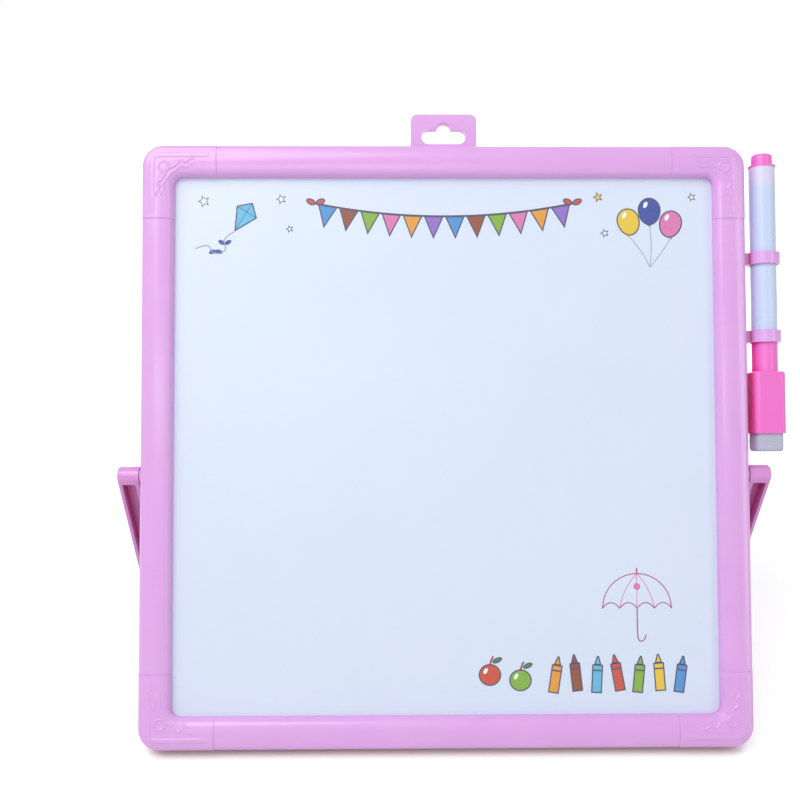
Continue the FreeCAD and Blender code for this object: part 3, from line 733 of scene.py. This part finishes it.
    def apples(self, made: Print) -> None:
        """Two apples beside the crayons."""
        for x, y, fill in ((20.0, -106.0, Ink.RED), (34.0, -108.5, Ink.GREEN)):
            made.stroke([(x, y + 4.0), (x + 0.4, y + 6.5), (x + 1.6, y + 8.4)], made.bold, Ink.BROWN)
            made.disc(spot(x, y), 5.2, 5.0, fill)
            made.disc(spot(x + 3.4, y + 6.6, 24.0), 2.4, 1.2, Ink.LEAF, corners=18)
            glint = spot(x - 2.0, y + 1.8, -30.0, made.over)
            made.disc(glint, 0.8, 1.5, Ink.WHITE, corners=16, edge=None)

    def umbrella(self, made: Print) -> None:
        """Open umbrella in thin line."""
        x, y, reach = 88.0, -76.0, 16.0
        arch = [(x + reach * math.cos(math.radians(a)), y + reach * math.sin(math.radians(a)))
                for a in range(0, 181, 15)]
        made.stroke(arch, made.thin, Ink.PLUM)
        for number in range(4):
            left = x - reach + 8.0 * number
            scallop = [(left, y), (left + 2.0, y + 2.6), (left + 6.0, y + 2.6), (left + 8.0, y)]
            made.stroke(scallop, made.thin, Ink.PLUM)
        for end in (-8.0, 0.0, 8.0):
            made.stroke([(x + end, y), (x + end * 0.8, y + 9.0), (x, y + reach)], made.hair, Ink.PINK)
        crook = [(x, y), (x, y - 12.0), (x + 0.6, y - 15.0), (x + 3.4, y - 15.0), (x + 4.0, y - 12.0)]
        made.stroke(crook, made.plain, Ink.PLUM)
        made.stroke([(x, y + reach), (x, y + reach + 2.4)], made.stout, Ink.PLUM, smooth=False)
        made.disc(spot(x, y + reach - 6.0), 1.6, 1.6, Ink.PINK, corners=18, edge=None)


@dataclass
class DialPrint(PrintedSheet):
    """Clock dial on the back sheet: rim, minute track, numerals and hour dots."""

    slot: str = "dial_white"
    rim_radius: float = 108.0
    rim_width: float = 6.0
    rim_gap: float = 1.2
    rim_line: float = 0.8
    rim_steps: int = 120
    track_radius: float = 98.0
    figure_radius: float = 85.0
    figure_size: float = 21.0
    dot_radius: float = 2.0
    dot_inset: float = 17.0
    hour_mark: Point = (1.4, 6.0)
    minute_mark: Point = (0.7, 3.6)

    def motifs(self) -> dict[str, Callable[[Print], None]]:
        """Drawing of each motif, by the name of its piece."""
        return {"dial_rim_print": self.rim, "dial_track_print": self.track,
                "dial_figures_print": self.figures}

    def at(self, minute: float, radius: float) -> Point:
        """Place on the dial, clockwise from the top."""
        angle = math.radians(90 - 6 * minute)
        return radius * math.cos(angle), radius * math.sin(angle)

    def rim(self, made: Print) -> None:
        """Coloured rim between two thin lines."""
        away = self.rim_width / 2 + self.rim_gap
        for radius, width, ink in ((self.rim_radius, self.rim_width, Ink.PINK),
                                   (self.rim_radius + away, self.rim_line, Ink.VIOLET),
                                   (self.rim_radius - away, self.rim_line, Ink.VIOLET)):
            circle = [self.at(60 * n / self.rim_steps, radius) for n in range(self.rim_steps)]
            made.stroke(circle, width, ink, closed=True, smooth=False)

    def track(self, made: Print) -> None:
        """Minute track with a longer stroke and a dot at each hour."""
        for minute in range(60):
            hour = minute % 5 == 0
            place = spot(*self.at(minute, self.track_radius), -6 * minute)
            wide, high = self.hour_mark if hour else self.minute_mark
            made.block(place, wide, high, Ink.NAVY if hour else Ink.GREY, edge=None)
        colours = (Ink.RED, Ink.ORANGE, Ink.YELLOW, Ink.GREEN, Ink.CYAN, Ink.VIOLET)
        for hour in range(12):
            place = spot(*self.at(5 * hour, self.figure_radius - self.dot_inset))
            made.disc(place, self.dot_radius, self.dot_radius, colours[hour % len(colours)], corners=18)

    def figures(self, made: Print) -> None:
        """Numerals of the twelve hours."""
        for hour in range(1, 13):
            place = spot(*self.at(5 * hour, self.figure_radius))
            made.figure(str(hour), place, self.figure_size, Ink.NAVY if hour % 3 == 0 else Ink.PLUM)


@dataclass(frozen=True)
class Ridge:
    """Raised line of a moulded ornament, as distances from the two outer edges of a corner."""

    run: tuple[Point, ...]
    half_width: float
    height: float
    flat_share: float = 0.0
    closed: bool = False
    sunk: float = 0.2
    round_shoulder: float = 0.6
    flat_shoulder: float = 0.75

    def section(self) -> list[Point]:
        """Offsets across the line and heights, from one foot to the other.

        Returns:
            pairs of offset and height, the feet a little sunk
        """
        rise = self.flat_shoulder if self.flat_share else self.round_shoulder
        half = [(1.0, -self.sunk), ((1 + self.flat_share) / 2, rise), (self.flat_share, 1.0)]
        across = half + [(-share, rise) for share, rise in reversed(half) if share]
        return [(share * self.half_width, rise * self.height) for share, rise in across]

    def mirrored(self) -> Ridge:
        """The same line on the other side of the corner's diagonal."""
        return replace(self, run=tuple((b, a) for a, b in self.run))


@dataclass
class CornerRelief:
    """Raised border and traditional wave scroll on the frame's four corner panels."""

    face: Face
    front: Object
    sheet: Object
    sheet_inset: float = 9.6
    border_inset: float = 5.1
    border_end: float = 32.4
    border_bend: Place = (8.0, 3.0, 0.6)
    # A form is half a line's width and its height
    border_form: Point = (1.3, 0.3)
    border_flat: float = 0.6
    eye: Point = (10.4, 10.6)
    eye_reach: float = 2.5
    eye_form: Point = (0.7, 0.42)
    wave: tuple[Point, ...] = ((12.6, 11.6), (14.6, 10.4), (16.4, 9.8), (17.4, 7.8), (19.0, 7.5),
                               (20.5, 8.8), (21.7, 7.8), (22.9, 6.8), (24.8, 6.9))
    wave_form: Point = (0.75, 0.42)
    echo: tuple[Point, ...] = ((13.3, 13.5), (15.6, 12.5), (17.3, 10.8), (18.8, 10.0), (20.4, 11.0),
                               (22.0, 9.8), (24.2, 9.0))
    echo_form: Point = (0.65, 0.34)
    lower_shift: float = 1.8
    ray_from: float = 30.0

    def ridges(self, shift: float) -> list[Ridge]:
        """Lines of one corner.

        Args:
            shift: how much further the scroll stands from the level edge than on the upper corners

        Returns:
            the border and the scroll's lines
        """
        near = self.border_inset
        arm, bend, cut = (near + step for step in self.border_bend)
        half = ((self.border_end, near), (arm, near), (bend, near))
        border = (*half, (cut, cut), *((b, a) for a, b in reversed(half)))
        ring = tuple((self.eye[0] + self.eye_reach * math.cos(math.radians(turn)),
                      self.eye[1] + self.eye_reach * math.sin(math.radians(turn)))
                     for turn in range(0, 360, 45))
        lines = [Ridge(self.wave, *self.wave_form), Ridge(self.echo, *self.echo_form)]
        scroll = [Ridge(ring, *self.eye_form, closed=True), *lines, *(line.mirrored() for line in lines)]
        return [Ridge(border, *self.border_form, flat_share=self.border_flat),
                *(replace(line, run=tuple((a, b + shift) for a, b in line.run)) for line in scroll)]

    def on_frame(self, across: float, along: float, height: float) -> Vector | None:
        """Point on the frame's front, in metres.

        Args:
            across: place to the right of the board's middle
            along: place above the board's middle
            height: height above the frame's surface

        Returns:
            the point, or None beside the frame
        """
        start = self.face.matrix() @ Vector((across, along, self.ray_from))
        hit, place, normal, _ = self.front.ray_cast(start, -self.face.out)
        return place + normal * height * MM if hit else None

    def press(self, shape: BMesh, ridge: Ridge, corner: Vector) -> None:
        """Lay one line on one corner.

        Args:
            shape: mesh that gets it
            ridge: the line
            corner: the frame's outer corner, from the board's middle
        """
        mesh = mesh_of(line_curve(ridge.run, 0.0, ridge.closed))
        run = [Vector((v.co.x, v.co.y)) for v in mesh.vertices]
        bpy.data.meshes.remove(mesh)
        if ridge.closed:
            run.append(run[0])
        section = ridge.section()
        steps, cells = len(run) - 1, len(section) - 1
        made = bmesh.ops.create_grid(shape, x_segments=cells, y_segments=steps, size=0.5)["verts"]
        for vert in made:
            row, column = round((vert.co.y + 0.5) * steps), round((vert.co.x + 0.5) * cells)
            before, after = run[max(row - 1, 0)], run[min(row + 1, steps)]
            offset, height = section[column]
            if row in (0, steps):
                if ridge.closed:
                    before, after = run[-2], run[1]
                else:
                    height = min(height, 0.0)
            inset = run[row] + (after - before).normalized().orthogonal() * offset
            vert.co = self.on_frame(corner.x - math.copysign(inset.x, corner.x),
                                    corner.y - math.copysign(inset.y, corner.y), height)

    def build(self) -> Object:
        """Mould every line on all four corners."""
        shape = bmesh.new()
        low, high = self.face.extent(self.sheet)
        half_width, half_height = ((high[i] - low[i]) / 2 + self.sheet_inset for i in (0, 1))
        for side, upper in ((-1, -1), (-1, 1), (1, -1), (1, 1)):
            for ridge in self.ridges(self.lower_shift if upper < 0 else 0.0):
                self.press(shape, ridge, Vector((side * half_width, upper * half_height)))
        bmesh.ops.recalc_face_normals(shape, faces=shape.faces)
        for part in shape.faces:
            if part.normal.dot(self.face.out) < 0:
                part.normal_flip()
        return new_piece("corner_relief", shape, [LILAC], "board", smooth=True)


@dataclass
class FeltPad:
    """Felt of the eraser: a soft block with rounded, slightly fuzzy sides."""

    face: Face
    node: Object
    corner: float = 2.2
    edge: float = 1.6
    cell: float = 0.55
    fuzz: float = 0.16
    fuzz_per_mm: float = 1.7

    def build(self) -> Object:
        """Felt block in the foot of the cap."""
        low, high = self.face.extent(self.node)
        size, middle = high - low, (high + low) / 2
        shape = bmesh.new()
        bmesh.ops.create_cube(shape, size=1.0)
        bmesh.ops.scale(shape, vec=size, verts=shape.verts)
        posts = [e for e in shape.edges if abs(e.verts[0].co.y - e.verts[1].co.y) > size.y / 2]
        bmesh.ops.bevel(shape, geom=posts, offset=self.corner, affect="EDGES", segments=5, profile=0.5,
                        material=-1)
        rims = [e for e in shape.edges if all(v.co.y < -size.y / 2 + self.edge / 2 for v in e.verts)]
        bmesh.ops.bevel(shape, geom=rims, offset=self.edge, affect="EDGES", segments=3, profile=0.5,
                        material=-1)
        for axis in range(3):
            self.slice(shape, axis, size[axis])
        for vert in shape.verts:
            drift = noise.noise_vector(vert.co * self.fuzz_per_mm) * self.fuzz
            vert.co += drift - vert.normal * self.fuzz
        place = self.face.matrix() @ Matrix.Translation(middle)
        bmesh.ops.transform(shape, matrix=place, verts=shape.verts)
        bmesh.ops.recalc_face_normals(shape, faces=shape.faces)
        piece = new_piece("felt_pad", shape, [FELT], "cap", smooth=True)
        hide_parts("felt_eraser")
        return piece

    def slice(self, shape: BMesh, axis: int, length: float) -> None:
        """Cut the block into cells across one direction.

        Args:
            shape: the block's mesh
            axis: number of the direction
            length: the block's size in it
        """
        normal = Vector((0.0, 0.0, 0.0))
        normal[axis] = 1.0
        count = int(length / self.cell)
        for number in range(1, count):
            cut = normal * (length * number / count - length / 2)
            geom = shape.verts[:] + shape.edges[:] + shape.faces[:]
            bmesh.ops.bisect_plane(shape, geom=geom, plane_co=cut, plane_no=normal)


@dataclass
class ScrewHeads:
    """Pan heads of the frame's screws, each with a cross drive."""

    face: Face
    node: Object
    radius: float = 2.5
    height: float = 1.8
    crown: float = 0.5
    drive_depth: float = 0.9
    drive_width: float = 0.75
    drive_reach: float = 0.62
    drive_limit: float = 0.8
    cells: int = 5
    shank_radius: float = 1.3

    def places(self) -> list[Vector]:
        """Middle of each head's top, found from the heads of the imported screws."""
        back = self.face.matrix().inverted()
        tops: list[list[Vector]] = []
        level = max((back @ v.co).z for v in self.node.data.vertices)
        for vert in self.node.data.vertices:
            place = back @ vert.co
            if place.z < level - self.height / 2:
                continue
            for group in tops:
                if (group[0] - place).length < 3 * self.radius:
                    group.append(place)
                    break
            else:
                tops.append([place])
        return [sum((p for p in group), Vector()) / len(group) for group in tops]

    def head(self, shape: BMesh, place: Matrix) -> None:
        """Model one head.

        Args:
            shape: mesh that gets it
            place: transform of its top's middle
        """
        made = bmesh.ops.create_grid(shape, x_segments=self.cells, y_segments=self.cells,
                                     size=self.radius)["verts"]
        cells = list({f for v in made for f in v.link_faces})
        step = 2 * self.radius / self.cells
        # The middle cell's corners lie within the core and stay square
        core = 1.01 * step / 2
        for vert in made:
            inner, ring = sorted((abs(vert.co.x), abs(vert.co.y)))
            if ring > core:
                reach = self.radius if ring > 2 * step else self.drive_reach * self.radius
                vert.co *= reach / (vert.co.length if inner > core else ring)
            for axis in (0, 1):
                if abs(abs(vert.co[axis]) - step / 2) < 0.01 * step:
                    vert.co[axis] = math.copysign(self.drive_width / 2, vert.co[axis])
            vert.co.z = -self.crown * (vert.co.xy.length / self.radius) ** 2
        middles = {f: f.calc_center_median() for f in cells}
        cross = [f for f, middle in middles.items() if min(abs(middle.x), abs(middle.y)) < step / 4
                 and middle.length < self.drive_limit * self.radius]
        sunk = bmesh.ops.extrude_face_region(shape, geom=cross)["geom"]
        floor = [v for v in sunk if isinstance(v, BMVert)]
        bmesh.ops.delete(shape, geom=[f for f in cross if f.is_valid], context="FACES_ONLY")
        bmesh.ops.translate(shape, verts=floor, vec=(0.0, 0.0, -self.drive_depth))
        rim = [e for e in shape.edges if e.is_boundary and all(v in made for v in e.verts)]
        wall = bmesh.ops.extrude_edge_only(shape, edges=rim)["geom"]
        foot = [v for v in wall if isinstance(v, BMVert)]
        for vert in foot:
            vert.co.z = -self.height
        whole = list(set(made) | set(floor) | set(foot))
        bmesh.ops.transform(shape, matrix=place, verts=[v for v in whole if v.is_valid])

    def build(self) -> Object:
        """Model every head and the shank below it."""
        shape = bmesh.new()
        low, high = self.face.extent(self.node)
        for place in self.places():
            self.head(shape, Matrix.Translation(place))
            length = high.z - low.z - self.height
            middle = Matrix.Translation((place.x, place.y, low.z + length / 2))
            bmesh.ops.create_cone(shape, cap_ends=True, segments=16, radius1=self.shank_radius,
                                  radius2=self.shank_radius, depth=length, matrix=middle)
        bmesh.ops.transform(shape, matrix=self.face.matrix(), verts=shape.verts)
        bmesh.ops.recalc_face_normals(shape, faces=shape.faces)
        piece = new_piece("screw_heads", shape, [STEEL], "board")
        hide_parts("frame_screws")
        return piece


@dataclass
class PackedPieces:
    """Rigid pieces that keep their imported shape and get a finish."""

    nodes: dict[str, Object]
    face: Face
    stem_below_top: Span = (11.0, 5.0)

    def barrel_finish(self) -> PenTube:
        """Milky tube that the plug's stem tints at the top."""
        height = max(v.co.dot(self.face.up) for v in self.nodes["pen_barrel"].data.vertices) / MM
        turn = math.atan2(self.face.up.y, self.face.up.z)
        foot, top = (height - below for below in self.stem_below_top)
        return PenTube("milky_tube", "#CEDDF8", "#C8D8F6", stem="#DED9F4", stem_mm=(foot, top), turn=turn)

    def finishes(self) -> dict[Finish, tuple[str, ...]]:
        """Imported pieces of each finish."""
        return {
            LILAC: ("front_frame", "back_frame", "upper_pen_ring", "lower_pen_ring"),
            LEG_SHADED_LILAC: ("left_leg", "right_leg"),
            HOT_PINK: ("pen_end_plug", "pen_cap", "hour_hand"),
            VIOLET: ("minute_hand",),
            MILKY: ("nib_holder", "clock_pin", "hub_cap"),
            self.barrel_finish(): ("pen_barrel",),
            SHEET: ("whiteboard_sheet",),
            DIAL: ("clock_sheet",),
            HARDBOARD: ("core_board",),
            INKED_FIBRE: ("ink_reservoir", "pen_nib"),
            FELT: ("felt_eraser",),
            STEEL: ("frame_screws",),
        }

    def build(self) -> None:
        """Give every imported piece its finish."""
        for finish, names in self.finishes().items():
            for name in names:
                for slot in self.nodes[name].material_slots:
                    slot.material = finish.material()
                LOG.info("%s: %s", name, finish.name)


@dataclass(frozen=True)
class SoftLamp:
    """Soft rectangular lamp, with its place and size in metres and its power in watts."""

    name: str
    place: Place
    size: Point
    watts: float
    aim: Place = (0.0, 0.0, 0.12)

    def hang(self) -> None:
        """Put the lamp in its place, turned to the board."""
        data = bpy.data.lights.new(self.name, "AREA")
        data.shape = "RECTANGLE"
        data.size, data.size_y = self.size
        data.energy = self.watts
        lamp = bpy.data.objects.new(self.name, data)
        lamp.location = self.place
        sight = Vector(self.aim) - Vector(self.place)
        lamp.rotation_euler = sight.to_track_quat("-Z", "Y").to_euler()
        bpy.context.scene.collection.objects.link(lamp)


@dataclass
class Studio:
    """Pale floor, soft lamps and the photograph's camera."""

    camera_mm: Place = (-29.47, -423.7, 303.76)
    yaw: float = 0.722
    pitch: float = 19.836
    roll: float = 0.12
    focal_px: float = 980.0
    frame_px: float = 800.0
    sensor_mm: float = 36.0
    nearest: float = 0.01
    floor_colour: str = "#E4E4E4"
    floor_roughness: float = 0.9
    floor_reach: float = 6.0
    floor_drop: float = 0.0002
    near_glow: float = 0.42
    far_glow: float = 1.0
    glow_from: float = 0.22
    glow_to: float = 0.6
    contact: float = 0.005
    sky_light: float = 0.4
    lamps: tuple[SoftLamp, ...] = (
        SoftLamp("key", (-0.55, -0.52, 1.15), (1.1, 0.8), 10.2),
        SoftLamp("fill", (0.95, -0.7, 0.5), (0.15, 1.0), 1.9),
        SoftLamp("band", (-0.16, -0.85, 0.55), (0.5, 0.04), 0.55),
        SoftLamp("back", (0.5, 1.1, 0.8), (0.9, 0.6), 5.0),
    )

    def camera(self) -> None:
        """Camera at the photograph's angle."""
        data = bpy.data.cameras.new("camera")
        data.sensor_width = self.sensor_mm
        data.lens = self.sensor_mm * self.focal_px / self.frame_px
        data.clip_start = self.nearest
        camera = bpy.data.objects.new("camera", data)
        pose = Matrix.Translation(Vector(self.camera_mm) * MM)
        for degrees, axis in ((-self.yaw, "Z"), (90 - self.pitch, "X"), (self.roll, "Z")):
            pose = pose @ Matrix.Rotation(math.radians(degrees), 4, axis)
        camera.matrix_world = pose
        bpy.context.scene.collection.objects.link(camera)
        bpy.context.scene.camera = camera

    def seen(self, tree: NodeTree) -> NodeSocket:
        """Whether a ray shows a surface to the eye, directly or in gloss or glass.

        Args:
            tree: node tree that gets the nodes

        Returns:
            socket with one for such rays and zero for those that only carry light
        """
        path = add_node(tree, "ShaderNodeLightPath").outputs
        shown = path["Is Camera Ray"]
        for ray in ("Is Glossy Ray", "Is Transmission Ray"):
            shown = add_node(tree, "ShaderNodeMath", {0: shown, 1: path[ray]}, operation="MAXIMUM").outputs[0]
        return shown

    def floor(self) -> None:
        """Pale floor that keeps the board's shadow, adds a painted contact shadow and grows white away from
        it.
        """
        shape = bmesh.new()
        bmesh.ops.create_grid(shape, x_segments=1, y_segments=1, size=self.floor_reach)
        bmesh.ops.translate(shape, verts=shape.verts, vec=(0.0, 0.0, -self.floor_drop))
        mesh = bpy.data.meshes.new("floor")
        shape.to_mesh(mesh)
        shape.free()
        made = bpy.data.materials.new("pale_floor")
        made.use_nodes = True
        tree = made.node_tree
        shader = tree.nodes[SHADER]
        shader.inputs["Base Color"].default_value = linear(self.floor_colour)
        shader.inputs["Roughness"].default_value = self.floor_roughness
        shader.inputs["Emission Color"].default_value = FULL_WHITE
        place = add_node(tree, "ShaderNodeNewGeometry").outputs["Position"]
        reach = add_node(tree, "ShaderNodeVectorMath", {0: place}, operation="LENGTH").outputs["Value"]
        glow = add_node(tree, "ShaderNodeMapRange",
                        {"Value": reach, "From Min": self.glow_from, "From Max": self.glow_to,
                         "To Min": self.near_glow, "To Max": self.far_glow},
                        interpolation_type="SMOOTHSTEP").outputs["Result"]
        # Painted contact shadow: the glow fades where the board shuts out the sky, leaving a thin dark line
        # under its foot
        sky = add_node(tree, "ShaderNodeAmbientOcclusion", {"Distance": self.contact},
                       samples=SKY_SAMPLES).outputs["AO"]
        for share in (sky, self.seen(tree)):
            glow = add_node(tree, "ShaderNodeMath", {0: share, 1: glow}, operation="MULTIPLY").outputs[0]
        tree.links.new(glow, shader.inputs["Emission Strength"])
        mesh.materials.append(made)
        floor = bpy.data.objects.new("floor", mesh)
        bpy.context.scene.collection.objects.link(floor)

    def world(self) -> None:
        """White surroundings, dimmer as light than as background."""
        world = bpy.data.worlds.new("surroundings")
        bpy.context.scene.world = world
        world.use_nodes = True
        tree = world.node_tree
        strength = add_node(tree, "ShaderNodeMapRange",
                            {"Value": self.seen(tree), "To Min": self.sky_light, "To Max": 1.0})
        back = tree.nodes["Background"]
        back.inputs["Color"].default_value = FULL_WHITE
        tree.links.new(strength.outputs["Result"], back.inputs["Strength"])

    def build(self) -> None:
        """Set up floor, light and camera."""
        self.camera()
        self.floor()
        self.world()
        for lamp in self.lamps:
            lamp.hang()
        bpy.context.scene.view_settings.view_transform = "Standard"


def main() -> None:
    """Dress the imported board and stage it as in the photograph."""
    logging.basicConfig(level=logging.INFO, format="%(message)s")
    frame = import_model()
    nodes = frame["nodes"]
    front, back = board_faces(frame["record"])
    Studio().build()
    PackedPieces(nodes, front).build()
    CornerRelief(front, nodes["front_frame"], nodes["whiteboard_sheet"]).build()
    WritingSheetPrint(front).build()
    DialPrint(back).build()
    ScrewHeads(back, nodes["frame_screws"]).build()
    FeltPad(front, nodes["felt_eraser"]).build()


if __name__ == "__main__":
    main()
